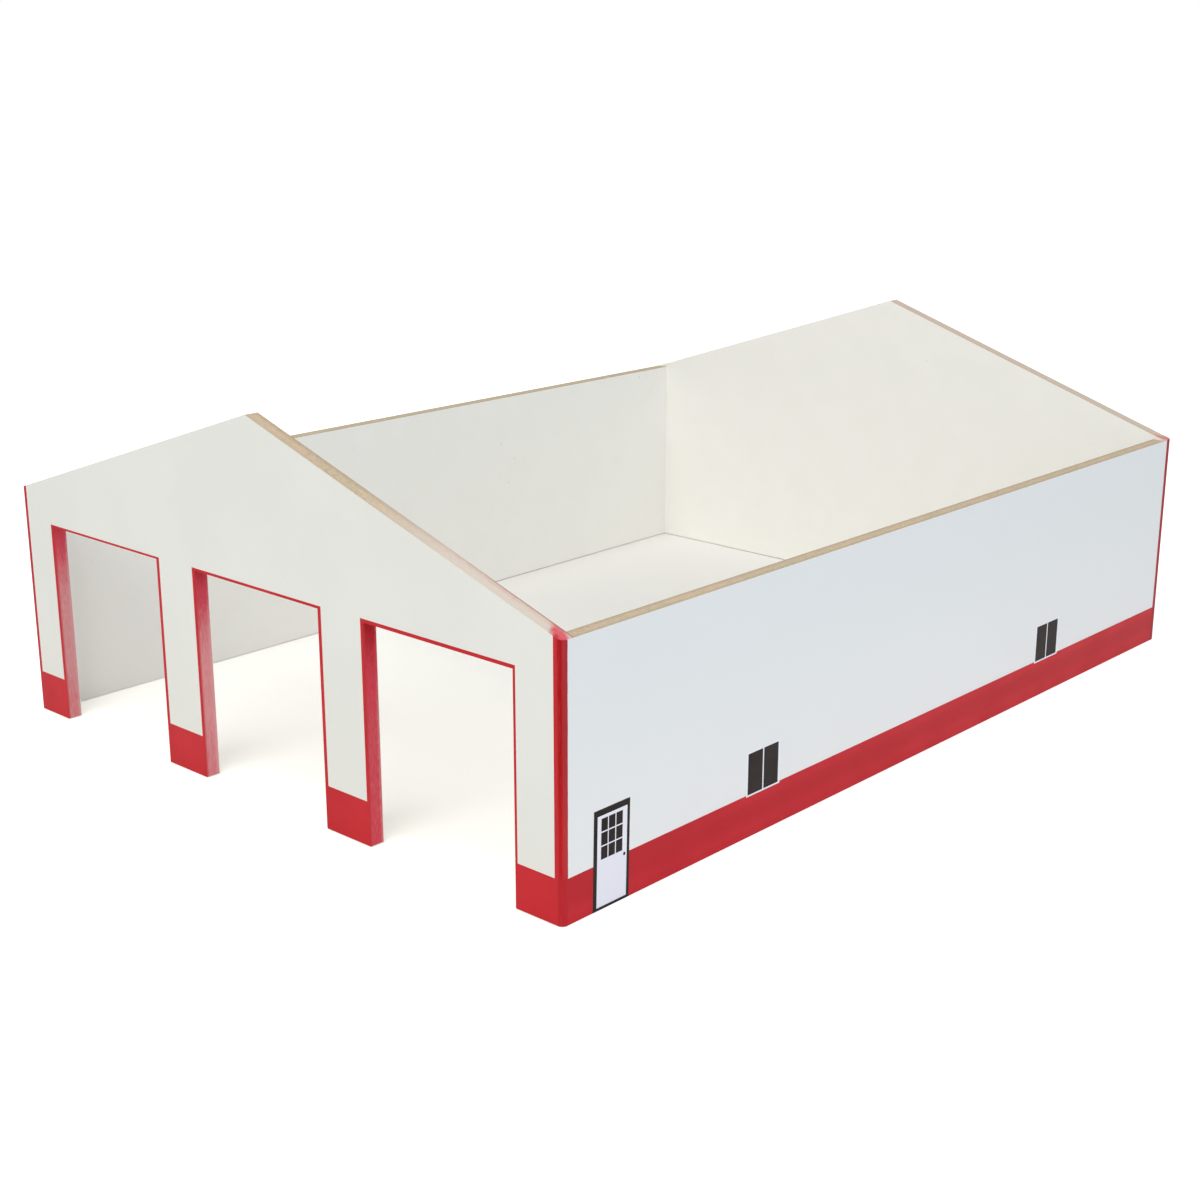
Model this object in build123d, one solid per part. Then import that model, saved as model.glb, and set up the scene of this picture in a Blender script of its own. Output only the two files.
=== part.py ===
from build123d import *
import os

# Toy machine shed at a scale of 1 to 64. Four faced boards stand on edge and make an open frame that
# has neither roof nor floor. Three bays cut the front gable into a comb. The gables close the ends of
# the side boards, and brads hold each corner. X runs across the shed, Y from the bays to the rear and
# Z up. The origin is on the ground in the middle of the plan. Sizes are in millimetres.

# Overall form, over the outer faces
width = 304.8
length = 406.4
eave_height = 96.0
ridge_height = 146.0

# Faced board: a fibreboard core with a printed facing outside and a plain liner inside
core_thickness = 5.6
facing_thickness = 0.2
liner_thickness = 0.2

# Bays, open to the ground and evenly spaced about the middle of the front gable
bay_count = 3
bay_width = 71.7
bay_height = 82.6
post_width = 23.8

# Round-over on the outer upright edges of both gables
edge_radius = 1.9

# Brads of flat wire, driven through a gable into the ends of the side boards
brads_per_corner = 4
brad_end_distance = 12.0
brad_length = 19.0
brad_width = 1.25
brad_thickness = 1.0
brad_head_width = 1.9
brad_head_thickness = 0.6
brad_point_length = 1.5

# Places that follow from the sizes above
half_width = width / 2
half_length = length / 2
board_thickness = facing_thickness + core_thickness + liner_thickness
core_half_width = half_width - facing_thickness
side_half_length = half_length - board_thickness
# A facing stops where the round-over begins, so that only painted core shows at the corner.
facing_setback = facing_thickness + edge_radius
bay_pitch = bay_width + post_width


def roof_height(x):
    """Height of a gable's sloping top edge at the distance x from the middle."""
    return ridge_height - (ridge_height - eave_height) * abs(x) / half_width


def gable_outline(half_span):
    """Five-sided outline of a gable sheet, drawn in the plane of X and height."""
    eave = roof_height(half_span)
    return Polygon(
        (-half_span, 0),
        (half_span, 0),
        (half_span, eave),
        (0, ridge_height),
        (-half_span, eave),
        align=None,
    )


def bay_outlines():
    """Rectangles of the bays, cut a little below the ground line so that they open downwards."""
    below_ground = bay_height / 10
    bay = Rectangle(bay_width, bay_height + below_ground, align=(Align.CENTER, Align.MAX))
    return [
        Pos((number - (bay_count - 1) / 2) * bay_pitch, bay_height) * bay
        for number in range(bay_count)
    ]


def front_sheet(half_span, depth, thickness, with_bays):
    """One layer of a gable at the front. Its outer face lies at the given depth behind the front."""
    outline = gable_outline(half_span)
    if with_bays:
        outline -= bay_outlines()
    inner_face = Plane(
        origin=(0, depth + thickness - half_length, 0), x_dir=(1, 0, 0), z_dir=(0, -1, 0)
    )
    return extrude(inner_face * outline, thickness)


def gable_core(with_bays):
    """Fibreboard core of a gable, with its two outer upright edges rounded over."""
    core = front_sheet(core_half_width, facing_thickness, core_thickness, with_bays)
    uprights = core.edges().filter_by(Axis.Z).group_by(Axis.Y)[0].sort_by(Axis.X)
    return fillet([uprights[0], uprights[-1]], edge_radius) - brads_in_gable()


def gable_facing(with_bays):
    """Printed facing of a gable, flat between the two round-overs."""
    return front_sheet(half_width - facing_setback, 0, facing_thickness, with_bays)


def gable_liner(with_bays):
    """Plain inner liner of a gable, which the ends of the side boards butt against."""
    depth = facing_thickness + core_thickness
    return front_sheet(core_half_width, depth, liner_thickness, with_bays) - brads_in_gable()


def brad():
    """Brad along +Y. The head is flush with y = 0, and the chisel point is at the far end."""
    head, shank = brad_head_width / 2, brad_width / 2
    shoulder = brad_length - brad_point_length
    outline = Polygon(
        (0, -head),
        (brad_head_thickness, -head),
        (brad_head_thickness, -shank),
        (shoulder, -shank),
        (brad_length, 0),
        (shoulder, shank),
        (brad_head_thickness, shank),
        (brad_head_thickness, head),
        (0, head),
        align=None,
    )
    return extrude(Plane.YZ * outline, brad_thickness / 2, both=True)


def brads_in_gable():
    """All brads of the front gable, centred in the side boards' cores, heads under the facing."""
    across = core_half_width - core_thickness / 2
    climb = (eave_height - 2 * brad_end_distance) / (brads_per_corner - 1)
    return [
        Pos(side * across, facing_thickness - half_length, brad_end_distance + row * climb) * brad()
        for side in (-1, 1)
        for row in range(brads_per_corner)
    ]


def side_sheet(depth, thickness, half_span):
    """One layer of the right side board. Its outer face lies at the given depth inside the face."""
    low = (half_width - depth - thickness, -half_span, 0)
    return Pos(*low) * Box(thickness, 2 * half_span, eave_height, align=(Align.MIN,) * 3)


def side_core():
    """Fibreboard core of the right side board, with the brads' holes in both of its ends."""
    core = side_sheet(facing_thickness, core_thickness, side_half_length)
    front_brads = brads_in_gable()
    return core - front_brads - [to_rear(one) for one in front_brads]


def side_facing():
    """Printed facing of the right side. It laps over the end edges of both gables."""
    return side_sheet(0, facing_thickness, half_length - facing_setback)


def side_liner():
    """Plain inner liner of the right side board, between the gables."""
    return side_sheet(facing_thickness + core_thickness, liner_thickness, side_half_length)


def to_rear(shape):
    """The same shape at the other end of the shed."""
    return mirror(shape, about=Plane.XZ)


def to_left(shape):
    """The same shape on the other side of the shed."""
    return mirror(shape, about=Plane.YZ)


nodes = {
    "front_gable_board": gable_core(with_bays=True),
    "front_gable_facing": gable_facing(with_bays=True),
    "front_gable_liner": gable_liner(with_bays=True),
    "front_gable_brads": Compound(brads_in_gable()),
    "rear_gable_board": to_rear(gable_core(with_bays=False)),
    "rear_gable_facing": to_rear(gable_facing(with_bays=False)),
    "rear_gable_liner": to_rear(gable_liner(with_bays=False)),
    "rear_gable_brads": to_rear(Compound(brads_in_gable())),
    "right_side_board": side_core(),
    "right_side_facing": side_facing(),
    "right_side_liner": side_liner(),
    "left_side_board": to_left(side_core()),
    "left_side_facing": to_left(side_facing()),
    "left_side_liner": to_left(side_liner()),
}

os.makedirs("parts", exist_ok=True)
for name, shape in nodes.items():
    export_step(shape, f"parts/{name}.step")
    print(name, "volume", round(shape.volume, 1))
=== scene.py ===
import math

import bpy
import numpy as np
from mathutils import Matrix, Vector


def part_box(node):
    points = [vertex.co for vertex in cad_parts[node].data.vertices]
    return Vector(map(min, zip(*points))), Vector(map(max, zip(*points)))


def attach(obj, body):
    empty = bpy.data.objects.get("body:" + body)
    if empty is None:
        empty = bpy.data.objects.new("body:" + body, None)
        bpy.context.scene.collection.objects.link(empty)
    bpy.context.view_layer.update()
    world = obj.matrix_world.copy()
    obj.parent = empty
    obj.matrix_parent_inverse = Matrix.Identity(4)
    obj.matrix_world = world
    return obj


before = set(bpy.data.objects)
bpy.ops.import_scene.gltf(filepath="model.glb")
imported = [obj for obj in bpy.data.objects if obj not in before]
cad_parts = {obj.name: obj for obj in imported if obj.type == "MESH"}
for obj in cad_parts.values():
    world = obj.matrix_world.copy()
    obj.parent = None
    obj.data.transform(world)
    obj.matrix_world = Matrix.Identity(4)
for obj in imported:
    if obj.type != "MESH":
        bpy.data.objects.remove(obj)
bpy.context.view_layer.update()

# The shed in view
# It stands on a white sweep, seen from the front right and from a little above its ridge. The camera's
# place follows from the shed's corners, eaves and bay edges in the photograph and from their real sizes.
mm = 0.001
camera_place = (524.2, -593.1, 271.7)
camera_turn = 42.376
camera_fall = 16.772
camera_lens = 55.85
sensor_width = 36.0

scene = bpy.context.scene
scene.view_settings.view_transform = "Standard"
camera = bpy.data.objects.new("camera", bpy.data.cameras.new("camera"))
camera.data.lens = camera_lens
camera.data.sensor_width = sensor_width
camera.location = np.array(camera_place) * mm
camera.rotation_euler = np.radians((90 - camera_fall, 0, camera_turn))
scene.collection.objects.link(camera)
scene.camera = camera

# Fibreboard of the side boards
# Two plain boards, sawn from 6 mm medium-density fibreboard that is faced on both sides. Only the raw
# top edge shows. The fibres lie in thin layers along the board, darker and denser next to its faces.
# Next to the inner face, the darkening is partly painted shade along the tops' inner edge.
half_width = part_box("right_side_facing")[1].x
half_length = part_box("rear_gable_facing")[1].y
fibre_light = (213, 197, 171)
fibre_dark = (187, 168, 139)
fibre_skin = (178, 156, 127)
fibre_warm = (226, 194, 168)
fibre_speck = (142, 117, 90)
fibre_length = 1.8 * mm
fibre_thickness = 0.3 * mm
fibre_patch = 13 * mm
speck_size = 0.7 * mm
outer_skin_depth, inner_skin_and_shade_depth = (2.4 * mm, 0.6 * mm), (3.6 * mm, 5.4 * mm)
sawn_relief = 0.12 * mm


def colour(red, green, blue):
    """Linear colour for one written as it looks, each channel from 0 to 255 on the screen's curve."""
    seen = np.array((red, green, blue)) / 255
    linear = np.where(seen > 0.04045, ((seen + 0.055) / 1.055) ** 2.4, seen / 12.92)
    return (*(float(channel) for channel in linear), 1.0)


class Wire:
    """A value, colour or vector on its way through a material. Arithmetic on it adds Math nodes."""

    def __init__(self, tree, socket=None):
        self.tree = tree
        self.socket = socket

    def add(self, kind, sockets=None, output=0, **settings):
        """Adds a node of a kind, makes its settings, fills its sockets and returns one of its outputs."""
        node = self.tree.nodes.new("ShaderNode" + kind)
        for name, value in settings.items():
            setattr(node, name, value)
        for name, value in (sockets or {}).items():
            if isinstance(value, Wire):
                self.tree.links.new(value.socket, node.inputs[name])
            else:
                node.inputs[name].default_value = value
        return Wire(self.tree, node.outputs[output] if node.outputs else None)

    def maths(self, operation, *values):
        """Result of one Math node on values, which are wires or plain numbers."""
        return self.add("Math", dict(enumerate(values)), operation=operation)

    def __add__(self, other):
        return self.maths("ADD", self, other)

    def __sub__(self, other):
        return self.maths("SUBTRACT", self, other)

    def __rsub__(self, other):
        return self.maths("SUBTRACT", other, self)

    def __mul__(self, other):
        return self.maths("MULTIPLY", self, other)

    def __abs__(self):
        return self.maths("ABSOLUTE", self)

    __radd__ = __add__
    __rmul__ = __mul__

    def larger(self, other):
        """The larger of the two, for masks that are joined."""
        return self.maths("MAXIMUM", self, other)

    def rise(self, low, high):
        """0 at low and 1 at high, with a smooth curve between them. High may be the smaller number."""
        sockets = {"Value": self, "From Min": low, "From Max": high}
        return self.add("MapRange", sockets, interpolation_type="SMOOTHSTEP")

    def over(self, under, shade):
        """Colour that goes from the one under it to its own shade as this value goes from 0 to 1."""
        return self.add("Mix", {0: self, 6: under, 7: shade}, output=2, data_type="RGBA")


def grain(wire, size, detail=2.0):
    """Noise on the piece's own coordinates, whose blobs measure about a size along x, y and z."""
    place = wire.add("TexCoord", output="Object")
    scaled = wire.add("Mapping", {"Vector": place, "Scale": [1 / length for length in size]})
    return wire.add("TexNoise", {"Vector": scaled, "Scale": 1.0, "Detail": detail})


def parts_of(wire, kind):
    """The x, y and z of a coordinate of the piece, such as Object or Normal."""
    vector = wire.add("TexCoord", output=kind)
    return [wire.add("SeparateXYZ", {0: vector}, output=axis) for axis in range(3)]


def start_material(name):
    """An empty material, and the wire on which its nodes are strung."""
    made = bpy.data.materials.new(name)
    made.use_nodes = True
    made.node_tree.nodes.clear()
    return made, Wire(made.node_tree)


def end_material(wire, shade, roughness, height, depth, fixed=None):
    """Puts colour, roughness and relief on a shader. Depth is the relief's full height in metres."""
    relief = wire.add("Bump", {"Height": height, "Distance": depth})
    sockets = {"Base Color": shade, "Roughness": roughness, "Normal": relief}
    shader = wire.add("BsdfPrincipled", {**sockets, **(fixed or {})})
    wire.add("OutputMaterial", {"Surface": shader})


def raw_fibre(wire, thin_axis, outer_skin):
    """Colour and streaks of a sawn edge. The thin axis runs through the board.

    Outer skin is how much of the skin's colour shows at the outer face, from 0 to 1.
    """
    streak_size = [fibre_length] * 3
    streak_size[thin_axis] = fibre_thickness
    streaks = grain(wire, streak_size, 3.0)
    tufts = grain(wire, [3 * length for length in streak_size], 2.0)
    patches = grain(wire, [fibre_patch] * 3, 1.0)
    specks = grain(wire, [speck_size] * 3, 1.0)
    outer = (half_width, half_length)[thin_axis]
    inward = outer - abs(parts_of(wire, "Object")[thin_axis])
    # Near the inner face, the skin's colour is partly painted shade along the inner edge of the top.
    skin = inward.rise(*outer_skin_depth) * outer_skin + inward.rise(*inner_skin_and_shade_depth) * 0.5
    shade = streaks.rise(0.3, 0.7).over(colour(*fibre_dark), colour(*fibre_light))
    shade = (tufts.rise(0.35, 0.7) * 0.25).over(shade, colour(*fibre_light))
    shade = (patches.rise(0.48, 0.62) * 0.22).over(shade, colour(*fibre_warm))
    shade = skin.over(shade, colour(*fibre_skin))
    shade = (specks.rise(0.66, 0.74) * 0.5).over(shade, colour(*fibre_speck))
    return shade, streaks


def dress(names, material):
    """Gives CAD nodes their material, each in all of its slots."""
    for name in names:
        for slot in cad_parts[name].material_slots:
            slot.material = material


raw_board, wire = start_material("sawn fibreboard")
shade, streaks = raw_fibre(wire, 0, 0.5)
end_material(wire, shade, 0.85 - streaks * 0.1, streaks, sawn_relief, {"Specular IOR Level": 0.3})
dress(("right_side_board", "left_side_board"), raw_board)

# Gable boards with painted edges
# The same fibreboard, cut into a gable and, at the front, into a comb by the three bays. The cut edges
# of the bays are brushed red by hand, thinly towards the ground. Some of it strays on to the tops. The
# red's growing denser towards the bays' heads is partly painted shade under the heads, and the left
# bay's red is a little darker, as painted shade.
gable_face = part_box("front_gable_facing")[1].x
gable_corners = np.array([vertex.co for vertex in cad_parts["front_gable_facing"].data.vertices])
eave_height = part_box("right_side_board")[1].z
ridge_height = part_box("front_gable_board")[1].z
is_bay_head = (gable_corners[:, 2] > 1 * mm) & (gable_corners[:, 2] < eave_height - 1 * mm)
bay_height = float(gable_corners[is_bay_head, 2].max())
bay_edges = np.unique(gable_corners[is_bay_head, 0].round(6)).reshape(-1, 2)
bay_dense = (184, 28, 38)
bay_brushed_left, bay_brushed_right = (209, 74, 90), (219, 70, 86)
bay_thin_left_shaded, bay_thin_right = (217, 156, 157), (231, 161, 163)
bay_arris = (212, 62, 68)
top_veil = (228, 217, 207)
top_rear_outer, top_rear_inner = (214, 203, 194), (219, 198, 179)
top_stain = (213, 150, 142)
top_spill, top_spill_deep = (223, 92, 104), (200, 42, 52)
top_missed = (230, 194, 191)
# The next colour is painted shade, a dark line along the inner edge of the front gable's top.
top_inner_edge_shade = (146, 84, 74)
# Each pair below says where a colour starts and where it is full. A depth counts from the board's outer
# face, a reach from the end of the gable, a rise from the ground and a margin outwards from the bays'
# edges, and a place lies along x.
veil_reach = (105 * mm, 40 * mm)
rear_tint_depth = (1.6 * mm, 3.8 * mm)
stain_depth, stain_reach = (3.0 * mm, 5.6 * mm), (95 * mm, 20 * mm)
spill_reach = (6.0 * mm, 2.6 * mm)
spill_thin_depth, spill_deep_depth = (3.6 * mm, 5.6 * mm), (2.8 * mm, 0.6 * mm)
missed_depth = (2.4 * mm, 4.4 * mm)
inner_edge_shade_depth, inner_edge_shade_reach = (5.3 * mm, 5.7 * mm), (60 * mm, 2 * mm)
brush_and_shade_rise, foot_rise = (32 * mm, 90 * mm), (26 * mm, 6 * mm)
past_left_bay_place, right_bay_place = (-125 * mm, -45 * mm), (-45 * mm, 60 * mm)
past_middle_place = (-20 * mm, 50 * mm)
bay_worn_depth, bay_arris_depth = (4.2 * mm, 5.8 * mm), (1.1 * mm, 0.4 * mm)
coat_margin = (0.4 * mm, 0.2 * mm)
bare_foot_rise = (0.05 * mm, 0.15 * mm)
spill_shorter_at_rear, spill_wander = 2.0 * mm, 4 * mm
middle_blend = 10 * mm
wobble_size, mottle_size = 2.5 * mm, 1.3 * mm
drag_size = (0.4 * mm, 0.35 * mm, 2.4 * mm)
brushed_relief = 0.1 * mm

painted_board, wire = start_material("painted fibreboard")
shade, streaks = raw_fibre(wire, 1, 0.12)
x, y, z = parts_of(wire, "Object")
upward = parts_of(wire, "Normal")[2]
reach = abs(x)
from_end = half_width - reach
from_face = half_length - abs(y)
wobble = grain(wire, [wobble_size] * 3, 2.0) - 0.5
drag = grain(wire, drag_size, 3.0) - 0.5
on_top = upward.rise(0.3, 0.6)
at_front = y.rise(middle_blend, -middle_blend) * on_top
at_rear = on_top - at_front
veil = from_end.rise(*veil_reach)
shade = (veil * at_front * 0.75).over(shade, colour(*top_veil))
rear_tint = from_face.rise(*rear_tint_depth).over(colour(*top_rear_outer), colour(*top_rear_inner))
shade = (at_rear * 0.7).over(shade, rear_tint)
stain = from_face.rise(*stain_depth) * from_end.rise(*stain_reach)
shade = (stain * at_front * (0.35 + wobble * 1.4)).over(shade, colour(*top_stain))
spill = from_end + at_rear * spill_shorter_at_rear - from_face * 0.83 + wobble * spill_wander
spill = spill.rise(*spill_reach) * (at_front * 0.4 + on_top * 0.6)
spill = spill * (1 - from_face.rise(*spill_thin_depth) * 0.2)
mottle = grain(wire, [mottle_size] * 3, 2.0) - 0.5
deep = from_face.rise(*spill_deep_depth) * 0.85 + mottle * 2.4
spilled = deep.over(colour(*top_spill), colour(*top_spill_deep))
shade = (spill * 0.95).over(shade, spilled)
missed = (from_face - from_end * 0.6).rise(*missed_depth) * spill
shade = (missed * 0.9).over(shade, colour(*top_missed))
# Painted shade: a dark line along the inner edge of the front gable's top, strongest towards its ends.
inner_edge_shade = from_face.rise(*inner_edge_shade_depth) * from_end.rise(*inner_edge_shade_reach) * at_front
shade = (inner_edge_shade * 0.8).over(shade, colour(*top_inner_edge_shade))
# The coat grows denser towards the bays' heads: partly the brushing, partly painted shade under the heads.
brush_run_and_head_shade = z.rise(*brush_and_shade_rise)
right_bay = x.rise(*right_bay_place)
past_left_bay = x.rise(*past_left_bay_place)
brush_load = 0.66 + (past_left_bay - x.rise(*past_middle_place)) * 0.19
foot_load = z.rise(*foot_rise) * (0.12 - right_bay * 0.1)
coat = brush_run_and_head_shade * brush_run_and_head_shade * brush_load + right_bay * 0.38 + foot_load
coat = coat + drag * 0.6 - from_face.rise(*bay_worn_depth) * 0.26
# The left bay's thin red is darker, as painted shade.
thin = past_left_bay.over(colour(*bay_thin_left_shaded), colour(*bay_thin_right))
brushed = right_bay.over(colour(*bay_brushed_left), colour(*bay_brushed_right))
coated = coat.rise(-0.15, 0.5).over(thin, brushed)
coated = coat.rise(0.5, 1.0).over(coated, colour(*bay_dense))
coated = (from_face.rise(*bay_arris_depth) * 0.65).over(coated, colour(*bay_arris))
coat_side = bay_edges.max() + np.array(coat_margin)
coat_head = bay_height + np.array(coat_margin)
in_bay = reach.rise(*coat_side) * z.rise(*coat_head) * z.rise(*bare_foot_rise)
shade = in_bay.over(shade, coated)
wet = in_bay * coat.rise(0.2, 0.8)
end_material(wire, shade, 0.82 - wet * 0.3, streaks, brushed_relief, {"Specular IOR Level": 0.12})
dress(("front_gable_board", "rear_gable_board"), painted_board)

# Printed facings
# A thin white sheet glued on the outside of each board, satin and faintly pebbled. On the sides it is
# cooler and darker towards the top and lighter at the foot, which is painted light from the floor's
# bounce. On the gables, its cut ends are painted along with the bays' edges.
sheet_white = (234, 236, 231)
sheet_cloud = (231, 233, 228)
sheet_mark = (176, 170, 160)
sheet_cut_red = (202, 52, 60)
side_top_shaded, side_foot_lit = (228, 231, 231), (238, 238, 236)
side_light_rise = (10 * mm, 95 * mm)
side_sheet_depth = (0.5 * mm, 1 * mm)
stray_reach = (2.4 * mm, 1.2 * mm)
pebble_size, swell_size = 0.9 * mm, 12 * mm
cloud_size, mark_size, mark_spacing = 45 * mm, 1.6 * mm, 60 * mm
sheet_relief = 0.012 * mm


def facing_relief(wire):
    """Pebbling and slow swell of the sheet, which the print on it keeps."""
    return grain(wire, [pebble_size] * 3, 2.0) + grain(wire, [swell_size] * 3, 1.0) * 1.5


printed_facing, wire = start_material("white facing sheet")
clouds = grain(wire, [cloud_size] * 3, 3.0)
marks = grain(wire, [mark_size] * 3, 0.0)
rare = grain(wire, [mark_spacing] * 3, 0.0)
shade = clouds.rise(0.35, 0.65).over(colour(*sheet_cloud), colour(*sheet_white))
shade = (marks.rise(0.84, 0.88) * rare.rise(0.55, 0.65) * 0.35).over(shade, colour(*sheet_mark))
x, _, z = parts_of(wire, "Object")
reach = abs(x)
on_gable = reach.rise(*(half_width - np.array(side_sheet_depth)))
# Painted light on the sides: lighter at the foot, cooler and darker at the top.
side_painted_light = z.rise(*side_light_rise).over(colour(*side_foot_lit), colour(*side_top_shaded))
shade = ((1 - on_gable) * 0.75).over(shade, side_painted_light)
across, _, upward = parts_of(wire, "Normal")
spilled = upward * reach.rise(*(gable_face - np.array(stray_reach)))
cut_end = abs(across).larger(0 - upward).larger(spilled).rise(0.5, 0.8)
shade = (on_gable * cut_end).over(shade, colour(*sheet_cut_red))
relief = facing_relief(wire)
end_material(wire, shade, 0.45 + clouds * 0.08, relief, sheet_relief, {"Specular IOR Level": 0.3})
dress([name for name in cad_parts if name.endswith("_facing")], printed_facing)

# Plain liners
# The inner faces carry the board's own warm-white foil, matt and a little blotchy, with nothing printed.
liner_white = (244, 243, 238)
liner_blotch = (243, 242, 236)
liner_mark = (190, 184, 170)
liner_top_edge_skin_and_shade = (158, 139, 112)
blotch_size, liner_mark_size, liner_mark_spacing = 18 * mm, 1.4 * mm, 50 * mm
liner_relief = 0.01 * mm

plain_liner, wire = start_material("warm white liner")
blotches = grain(wire, [blotch_size] * 3, 4.0)
marks = grain(wire, [liner_mark_size] * 3, 0.0)
rare = grain(wire, [liner_mark_spacing] * 3, 0.0)
shade = blotches.rise(0.35, 0.65).over(colour(*liner_blotch), colour(*liner_white))
shade = (marks.rise(0.85, 0.88) * rare.rise(0.55, 0.65) * 0.6).over(shade, colour(*liner_mark))
# The liner's top edge is dark like the board's dense skin, and darker still as painted shade along the
# inner edge.
shade = parts_of(wire, "Normal")[2].rise(0.5, 0.8).over(shade, colour(*liner_top_edge_skin_and_shade))
relief = facing_relief(wire)
end_material(wire, shade, 0.6 + blotches * 0.1, relief, liner_relief, {"Specular IOR Level": 0.3})
dress([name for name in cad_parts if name.endswith("_liner")], plain_liner)

# Brads
# Flat steel wire with a chisel point, shot through each gable into the side boards' ends. The facing
# covers their heads, so nothing of them shows on the finished shed.
steel_bright = (196, 196, 192)
steel_dull = (138, 138, 136)
draw_line = (0.15 * mm, 6 * mm, 0.15 * mm)
draw_relief = 0.01 * mm

brad_steel, wire = start_material("drawn steel")
drawn = grain(wire, draw_line, 2.0)
shade = drawn.rise(0.3, 0.7).over(colour(*steel_dull), colour(*steel_bright))
end_material(wire, shade, 0.3 + drawn * 0.2, drawn, draw_relief, {"Metallic": 1.0})
dress(("front_gable_brads", "rear_gable_brads"), brad_steel)

# Base band
# A red band printed along the foot of every wall, as wide as a course of blocks would be. It covers the
# foot of each post, a little higher on some, and the walk door and window sills are printed over it.
band_height = 16.3 * mm
post_band_heights = (16.9 * mm, 16.5 * mm, 16.8 * mm, 16.3 * mm)
ink_lift = 0.03 * mm
ink_root = 0.02 * mm
ink_red = (203, 44, 52)
ink_red_deep = (193, 39, 47)
ink_red_shaded = (183, 34, 42)
shade_rise, unshaded_rise, unshaded_place = (3 * mm, 9 * mm), (11 * mm, 15 * mm), (-160 * mm, -100 * mm)
ink_cloud_size, ink_dot_size = 22 * mm, 0.35 * mm
sheet_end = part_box("right_side_facing")[1].y
wall_directions = {"front": (0, -1), "right": (1, 0), "rear": (0, 1), "left": (-1, 0)}


def ink(name, thick, thin, sheen, shaded=None):
    """Material of a printed colour, which goes from thick to thin in soft clouds and fine dots.

    A shaded colour covers the ink from a little above the ground to a little below the top of the band, or
    to the very top near the shed's front. This is painted shade, so that the foot looks lit by the floor.
    """
    made, wire = start_material(name)
    clouds = grain(wire, [ink_cloud_size] * 3, 3.0)
    dots = grain(wire, [ink_dot_size] * 3, 1.0)
    cover = clouds * 0.7 + dots * 0.3
    shade = cover.rise(0.35, 0.65).over(colour(*thin), colour(*thick))
    if shaded:
        _, y, z = parts_of(wire, "Object")
        shaded_part = z.rise(*shade_rise) - z.rise(*unshaded_rise) * y.rise(*unshaded_place)
        shade = (shaded_part * 0.7).over(shade, colour(*shaded))
    relief = facing_relief(wire)
    end_material(wire, shade, sheen + clouds * 0.08, relief, sheet_relief, {"Specular IOR Level": 0.08})
    return made


def film(path, near, far, lift, closed=False, last_cut=None):
    """Points and faces of a layer of ink that follows a path of points (along, up) on a wall.

    The ink reaches from near to far on the left of each run. At a corner, its edge is where the two
    runs' edge lines meet: the point m with n1 . m = d1 and n2 . m = d2, for the runs' normals n and
    offsets d. An open end is cut square to its run, or along the normal last_cut at the last point.
    The cross-section has four points: near and far, each once below the sheet's face and once at lift.
    """
    path = np.array(path, float)
    runs = (np.roll(path, -1, axis=0) if closed else path[1:]) - (path if closed else path[:-1])
    runs /= np.linalg.norm(runs, axis=1, keepdims=True)
    normals = runs @ np.array(((0, 1), (-1, 0)))
    edges = np.stack([np.broadcast_to(near, len(runs)), np.broadcast_to(far, len(runs))], axis=-1)
    if closed:
        before, after = np.roll(normals, 1, axis=0), normals
        edges_before, edges_after = np.roll(edges, 1, axis=0), edges
    else:
        cut = runs[-1] if last_cut is None else np.array(last_cut, float)
        before, after = np.vstack([runs[:1], normals]), np.vstack([normals, cut])
        nought = np.zeros((1, 2))
        edges_before, edges_after = np.vstack([nought, edges]), np.vstack([edges, nought])
    offsets = np.linalg.solve(np.stack([before, after], 1), np.stack([edges_before, edges_after], 1))
    corners = path[:, None] + offsets.transpose(0, 2, 1)
    section = corners[:, (0, 0, 1, 1)]
    height = np.broadcast_to(np.array((-ink_root, lift, lift, -ink_root)), section.shape[:2])
    points = np.dstack([section, height]).reshape(-1, 3)
    start = np.arange(len(path) if closed else len(path) - 1)[:, None] * 4
    ring, turn = np.arange(4), (np.arange(4) + 1) % 4
    onward = (start + 4) % len(points)
    faces = np.stack([start + ring, onward + ring, onward + turn, start + turn], -1).reshape(-1, 4)
    if not closed:
        ends = np.array(((0, 1, 2, 3), (3, 2, 1, 0)))
        ends[1] += len(points) - 4
        faces = np.vstack([faces, ends])
    return points, faces


def block(low_along, high_along, low_up, high_up, lift):
    """Film of a plain upright rectangle: one run along its foot, with the ink on the upper side."""
    return film(((low_along, low_up), (high_along, low_up)), 0, high_up - low_up, lift)


def joined(shells):
    """Points and faces of several shells as those of one mesh."""
    starts = np.cumsum([0] + [len(points) for points, _ in shells])
    faces = [shell_faces + start for (_, shell_faces), start in zip(shells, starts)]
    return np.vstack([points for points, _ in shells]), np.vstack(faces)


def make_piece(name, points, faces, material, slot):
    """Makes a mesh piece with its material, which stays with the shed."""
    mesh = bpy.data.meshes.new(name)
    mesh.from_pydata(points, [], faces.tolist())
    mesh.materials.append(material)
    piece = bpy.data.objects.new(name, mesh)
    scene.collection.objects.link(piece)
    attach(piece, "root")
    return mesh


def print_on(wall, name, films, material):
    """Makes one piece of several films and lays it on a wall's outer face.

    On a wall that faces the direction o, along runs to the right as seen from outside, a = z x o, so
    that a point is half the shed's size times o, plus along times a, up times z and lift times o.
    """
    out = np.array((*wall_directions[wall], 0))
    right = np.cross((0, 0, 1), out)
    face = out * np.array((half_width, half_length, 0))
    points, faces = joined(films)
    placed = face + points @ np.stack([right, (0, 0, 1), out])
    make_piece(name, placed, faces, material, "printed_facing")


red_ink = ink("red ink", ink_red_deep, ink_red, 0.4)
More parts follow.
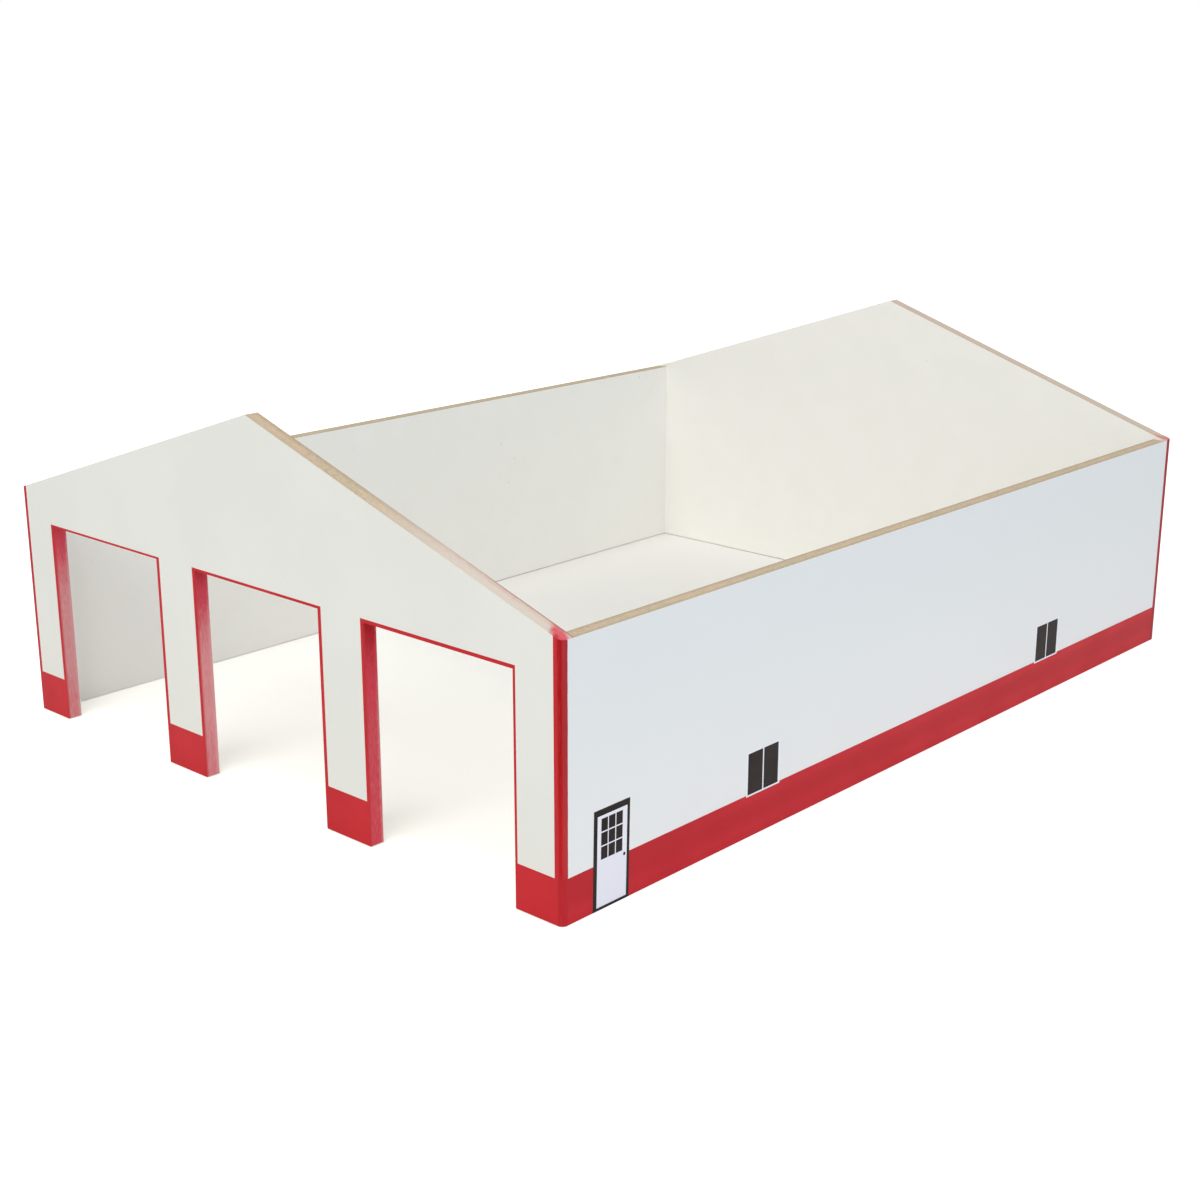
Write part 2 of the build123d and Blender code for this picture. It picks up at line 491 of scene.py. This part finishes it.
# On the sides the band is darker above its foot, as painted shade, so that the foot looks lit by the
# floor.
side_red_ink_shaded = ink("shaded red ink on the sides", ink_red_deep, ink_red, 0.4, ink_red_shaded)
post_edges = np.concatenate([[-gable_face], bay_edges.ravel(), [gable_face]]).reshape(-1, 2)
front_band = [block(*post, 0, height, ink_lift) for post, height in zip(post_edges, post_band_heights)]
print_on("front", "front_base_band", front_band, red_ink)
print_on("rear", "rear_base_band", [block(-gable_face, gable_face, 0, band_height, ink_lift)], red_ink)
for wall in ("right", "left"):
    side_band = [block(-sheet_end, sheet_end, 0, band_height, ink_lift)]
    print_on(wall, f"{wall}_base_band", side_band, side_red_ink_shaded)

# Corner trims
# A narrow red line printed down both edges of each gable's facing, where the painted corner begins. It
# ends along the slope of the roof. The sheet is trimmed a little unevenly, so the right line is wider.
corner_trim_widths = {-1: 1.2 * mm, 1: 1.3 * mm}
roof_slope = (ridge_height - eave_height) / half_width


def corner_trim(side, foot):
    """Film up one edge of a gable, from its foot to the roof. Side is 1 at the right, -1 at the left."""
    roof = ridge_height - roof_slope * gable_face
    edge = ((side * gable_face, foot), (side * gable_face, roof))
    width = corner_trim_widths[side]
    near, far = (0, width) if side > 0 else (-width, 0)
    return film(edge, near, far, ink_lift, last_cut=(side * roof_slope, 1))


front_trims = [corner_trim(-1, post_band_heights[0]), corner_trim(1, post_band_heights[-1])]
print_on("front", "front_corner_trims", front_trims, red_ink)
print_on("rear", "rear_corner_trims", [corner_trim(-1, band_height), corner_trim(1, band_height)], red_ink)

# Painted corners
# The rounded upright corners, brushed red once the sheets are on. The paint fills the step at each
# sheet's end and laps on to the side, neatly at the front and further at the rear.
layer_step = 0.02 * mm
paint_root = 0.35 * mm
paint_top = 0.02 * mm
foot_laps = {"front": 0.35 * mm, "rear": 2.0 * mm}
top_laps = {"front": 0.75 * mm, "rear": 2.0 * mm}
lap_wander = 0.05 * mm
# The corner colours below are painted light and shade on one paint: lighter facing the front, darkest
# across the round, darker higher up.
corner_foot = (184, 35, 43)
corner_flat, corner_round_shaded = (186, 50, 54), (184, 19, 26)
corner_flat_high_shaded, corner_round_high_shaded = (170, 42, 46), (166, 5, 10)
corner_front_lit = (196, 38, 44)
corner_shade = (160, 40, 48)
corner_streak = (208, 70, 76)
corner_shade_rise = (25 * mm, 65 * mm)
corner_foot_rise = (band_height - 1 * mm, band_height + 3 * mm)
corner_bristles = (0.4 * mm, 0.4 * mm, 7 * mm)
bristle_relief = 0.02 * mm
turn_points, height_points = 13, 97
wander_waves = (23, 41, 87)
smooth_below = math.radians(30)

corner_paint, wire = start_material("red corner paint")
x, y, z = parts_of(wire, "Object")
across, through, _ = parts_of(wire, "Normal")
brushing = grain(wire, corner_bristles, 3.0)
# The paint follows the way each part faces, as painted light and shade, and is darker higher up as painted
# shade.
rounded = abs(across).rise(0.08, 0.36) * abs(through).rise(0.48, 0.8)
low_red = rounded.over(colour(*corner_flat), colour(*corner_round_shaded))
high_red_shaded = rounded.over(colour(*corner_flat_high_shaded), colour(*corner_round_high_shaded))
shade = z.rise(*corner_shade_rise).over(low_red, high_red_shaded)
shade = (abs(across).rise(0.25, 0.05) * 0.8).over(shade, colour(*corner_front_lit))
shade = z.rise(*corner_foot_rise).over(colour(*corner_foot), shade)
at_rear = y.rise(-middle_blend, middle_blend)
at_left = x.rise(middle_blend, -middle_blend)
shade = (at_rear.larger(at_left) * 0.7).over(shade, colour(*corner_shade))
shade = (brushing.rise(0.5, 0.75) * 0.3).over(shade, colour(*corner_streak))
end_material(wire, shade, 0.5 + brushing * 0.1, brushing, bristle_relief, {"Specular IOR Level": 0.12})


def painted_corner(side, wall, end):
    """Coat on one upright corner: side is 1 at the right and -1 at the left, end is -1 at the front.

    Its section is a strip between an outer and an inner line, both from the gable's face to the side's.
    The outer one is the quarter circle c + (r + t) (sin a, cos a), whose t grows from the ink's height by
    a layer, and then runs on along the side for the lap. The inner one lies deeper in the board. The
    lap grows evenly with the height and wanders in three waves, and each point rises to the roof line.
    """
    turn = np.linspace(0, math.pi / 2, turn_points)
    corner_radius = half_width - gable_face
    outer_radii = corner_radius + ink_lift + layer_step * turn / turn[-1]
    radii = np.stack([outer_radii, np.full(len(turn), corner_radius - paint_root)])
    arcs = radii[..., None] * np.stack([np.sin(turn), np.cos(turn)], -1) + (gable_face, sheet_end)
    height = np.linspace(0, 1, height_points)
    waves = np.sin(np.outer(height, wander_waves) + side).mean(1)
    lines = np.empty((len(height), 2, len(turn) + 1, 2))
    lines[:, :, :-1] = arcs
    lines[:, :, -1, 0] = half_width + ink_lift + layer_step, half_width - ink_root
    lap = foot_laps[wall] + (top_laps[wall] - foot_laps[wall]) * height
    lines[:, :, -1, 1] = (sheet_end - lap + lap_wander * waves)[:, None]
    ring = np.concatenate([lines[:, 0], lines[:, 1, ::-1]], 1)
    up = height[:, None] * (ridge_height + paint_top - roof_slope * ring[..., 0])
    points = np.dstack([ring[..., 0] * side, ring[..., 1] * end, up]).reshape(-1, 3)
    count = ring.shape[1]
    level = np.arange(0, len(points) - count, count)[:, None]
    here, onward = np.arange(count), np.roll(np.arange(count), -1)
    walls = np.stack([level + here, level + onward, level + onward + count, level + here + count], -1)
    rung = np.arange(count // 2 - 1)
    cap = np.stack([rung, rung + 1, count - 2 - rung, count - 1 - rung], -1)
    faces = np.vstack([walls.reshape(-1, 4), cap[:, ::-1], cap + len(points) - count])
    return points, faces[:, ::-1] if side * end > 0 else faces


for wall, end in (("front", -1), ("rear", 1)):
    corners = joined([painted_corner(side, wall, end) for side in (-1, 1)])
    coat = make_piece(f"{wall}_painted_corners", *corners, corner_paint, "fibreboard")
    coat.shade_smooth()
    coat.set_sharp_from_angle(angle=smooth_below)

# Bay trims
# A thin red line printed round each bay, up one side, over the head and down the other, which meets the
# painted edge of the board. The bays are cut a little off the print, so each line has three widths.
bay_trim_widths = {
    "left": (1.24 * mm, 0.85 * mm, 1.65 * mm),
    "middle": (1.24 * mm, 1.05 * mm, 1.65 * mm),
    "right": (1.24 * mm, 1.35 * mm, 1.05 * mm),
}


def bay_trim(low, high, feet, widths):
    """Film round a bay, clockwise as seen from outside, so that its ink lies outside the opening."""
    path = ((low, feet[0]), (low, bay_height), (high, bay_height), (high, feet[1]))
    return film(path, 0, widths, ink_lift)


for number, (bay, widths) in enumerate(bay_trim_widths.items()):
    feet = post_band_heights[number : number + 2]
    print_on("front", f"{bay}_bay_trim", [bay_trim(*bay_edges[number], feet, widths)], red_ink)

# Walk door
# A small door printed at the front of the right side, over the base band: a near-black frame, a leaf
# in a cold white with nine lights, three by three, and a round knob. It stands a shade out of upright.
door_low = 14.05 * mm
door_width = 17.4 * mm
door_height = 35.2 * mm
door_lean = 0.021
frame_widths = {"left": 1.75 * mm, "head": 2.25 * mm, "right": 1.3 * mm, "sill": 1.05 * mm}
light_width, light_height = 3.12 * mm, 4.42 * mm
light_gap = 0.48 * mm
light_rows = light_columns = 3
lights_low = (17.6 * mm, 17.6 * mm)
knob_place = (29.0 * mm, 16.1 * mm)
knob_radius = 0.57 * mm
knob_reach = (-0.45 * knob_radius, knob_radius / 2)
knob_points = 16
ink_black = (30, 23, 21)
ink_black_thin = (44, 36, 33)
ink_leaf = (239, 239, 245)
ink_leaf_thin = (236, 236, 243)


def on_side(along, up):
    """Place on the right side's face, from one measured rearwards from the front corner and upwards."""
    return along - half_length, up


def leaning(low_along, high_along, low_up, high_up, lift):
    """Film of the door's rectangles. Each upright edge shifts rearwards by the lean times its height."""
    path = [on_side(along + door_lean * low_up, low_up) for along in (low_along, high_along)]
    points, faces = film(path, 0, high_up - low_up, lift)
    points[:, 0] += door_lean * (points[:, 1] - low_up)
    return points, faces


door_high = door_low + door_width
leaf_edges = (
    door_low + frame_widths["left"],
    door_high - frame_widths["right"],
    frame_widths["sill"],
    door_height - frame_widths["head"],
)
black_ink = ink("near-black ink", ink_black, ink_black_thin, 0.4)
leaf_ink = ink("cold white ink", ink_leaf, ink_leaf_thin, 0.42)
door_frame = [leaning(door_low, door_high, 0, door_height, ink_lift + layer_step)]
door_leaf = [leaning(*leaf_edges, ink_lift + 2 * layer_step)]
light_lows = [
    (lights_low[0] + column * (light_width + light_gap), lights_low[1] + row * (light_height + light_gap))
    for row in range(light_rows)
    for column in range(light_columns)
]
door_lights = [
    leaning(along, along + light_width, up, up + light_height, ink_lift + 3 * layer_step)
    for along, up in light_lows
]
# The knob's ink follows a circle of half its radius, and reaches all but to the centre.
turns = np.linspace(0, -2 * math.pi, knob_points, endpoint=False)
knob_centre = np.array(on_side(knob_place[0] + door_lean * knob_place[1], knob_place[1]))
knob_circle = knob_centre + np.column_stack([np.cos(turns), np.sin(turns)]) * knob_radius / 2
knob = [film(knob_circle, *knob_reach, ink_lift + 3 * layer_step, closed=True)]
print_on("right", "walk_door_frame", door_frame, black_ink)
print_on("right", "walk_door_leaf", door_leaf, leaf_ink)
print_on("right", "walk_door_lights", door_lights, black_ink)
print_on("right", "walk_door_knob", knob, black_ink)

# Windows
# Two windows printed further back on the right side. Each is a bright white surround, whose sill cuts
# into the base band, round two dark panes that stand side by side.
window_places = {"front": 94.0 * mm, "rear": 293.2 * mm}
surround_left, surround_right = 0.75 * mm, 1.15 * mm
surround_head = 0.5 * mm
window_width = 19.3 * mm
window_foot, window_top = 15.6 * mm, 32.3 * mm
pane_foot = 16.25 * mm
mullion_width = 0.7 * mm
ink_surround = (244, 246, 250)
ink_surround_thin = (238, 240, 245)
surround_ink = ink("bright white ink", ink_surround, ink_surround_thin, 0.42)
pane_width = (window_width - surround_left - surround_right - mullion_width) / 2


def window_block(low, width, foot, top, layer):
    """Film of an upright rectangle of a window, with its place given from the front corner."""
    return block(low - half_length, low + width - half_length, foot, top, ink_lift + layer * layer_step)


for name, low in window_places.items():
    surround = window_block(low, window_width, window_foot, window_top, 1)
    first_pane = low + surround_left
    panes = [
        window_block(pane, pane_width, pane_foot, window_top - surround_head, 2)
        for pane in (first_pane, first_pane + pane_width + mullion_width)
    ]
    print_on("right", f"{name}_window_surround", [surround], surround_ink)
    print_on("right", f"{name}_window_panes", panes, black_ink)

# Floor and light
# A white sweep under an even, soft light, a little warmer from the front and cooler from the right. The
# boards' feet aren't quite true, so the shed stands a hair above the floor.
floor_size = 30.0
floor_drop = 0.3 * mm
floor_white = (250, 250, 247)
floor_mottle = (247, 246, 243)
floor_shaded_between_walls = (236, 235, 232)
# The floor also glows for the camera, so that it shows white and still takes the shed's shadow: most of
# all outside, less in the bays, and not at all further in. The glow in the bays is painted light, and
# between the walls further in the camera sees a darker floor, which is painted shade.
painted_light_in_bays, glow_outside = (0.295, 0.292, 0.262, 1.0), (0.6, 0.6, 0.6, 1.0)
bays_light_up, front_lights_up = (10 * mm, -190 * mm), (-185 * mm, -235 * mm)
deep_inside = (60 * mm, -60 * mm)
no_glow = (0.0, 0.0, 0.0, 1.0)
wall_blend = 3 * mm
floor_mottle_size = 30 * mm
sky_seen, sky_light = (1.0, 1.0, 1.0, 1.0), (0.45, 0.45, 0.45, 1.0)
lamp_target = (0, 0, 0.05)

floor_mesh = bpy.data.meshes.new("floor")
half_floor = floor_size / 2
floor_corners = np.array(((-1, -1), (1, -1), (1, 1), (-1, 1))) * half_floor
floor_points = np.column_stack([floor_corners, np.full(4, -floor_drop)])
floor_mesh.from_pydata(floor_points, [], [(0, 1, 2, 3)])
floor = bpy.data.objects.new("floor", floor_mesh)
scene.collection.objects.link(floor)
floor_material, wire = start_material("white sweep")


def seen_rays(wire):
    """1 for rays from the camera and those that gloss or glass sends on, 0 for rays that carry light."""
    names = ("Is Camera Ray", "Is Glossy Ray", "Is Transmission Ray")
    camera_ray, glossy_ray, glass_ray = [wire.add("LightPath", output=name) for name in names]
    return camera_ray.larger(glossy_ray).larger(glass_ray)


x, y, _ = parts_of(wire, "Object")
seen = seen_rays(wire)
beside = abs(x).rise(half_width - wall_blend, half_width)
behind = y.rise(half_length - wall_blend, half_length)
outside = beside.larger(behind).larger(y.rise(*front_lights_up))
mottle = grain(wire, [floor_mottle_size] * 3, 2.0)
shade = mottle.over(colour(*floor_mottle), colour(*floor_white))
# Painted shade: between the walls further in, the camera sees a darker floor.
shade = (seen * (1 - y.rise(*deep_inside)) * (1 - outside)).over(shade, colour(*floor_shaded_between_walls))
glow = y.rise(*bays_light_up).over(no_glow, painted_light_in_bays)
glow = seen.over(no_glow, outside.over(glow, glow_outside))
sockets = {"Base Color": shade, "Roughness": 0.9, "Specular IOR Level": 0.0}
sweep = wire.add("BsdfPrincipled", {**sockets, "Emission Color": glow, "Emission Strength": 1.0})
wire.add("OutputMaterial", {"Surface": sweep})
floor_mesh.materials.append(floor_material)

world = bpy.data.worlds.new("soft light")
scene.world = world
world.use_nodes = True
world.node_tree.nodes.clear()
wire = Wire(world.node_tree)
sky = seen_rays(wire).over(sky_light, sky_seen)
background = wire.add("Background", {"Color": sky, "Strength": 1.0})
wire.add("OutputWorld", {"Surface": background})


def soft_lamp(name, place, size, power, tint):
    """Square lamp that looks at the shed's middle. Place and size are in metres, power in watts."""
    lamp = bpy.data.objects.new(name, bpy.data.lights.new(name, "AREA"))
    lamp.data.size = size
    lamp.data.energy = power
    lamp.data.color = tint
    lamp.location = place
    aim = np.array(lamp_target) - np.array(place)
    lamp.rotation_euler = (math.acos(-aim[2] / np.linalg.norm(aim)), 0, math.atan2(-aim[0], aim[1]))
    scene.collection.objects.link(lamp)


soft_lamp("overhead lamp", place=(0.28, -1.12, 1.88), size=1.5, power=26.0, tint=(1.0, 0.985, 0.95))
soft_lamp("right lamp", place=(1.3, -0.1, 0.3), size=0.8, power=4.1, tint=(0.62, 0.76, 1.0))
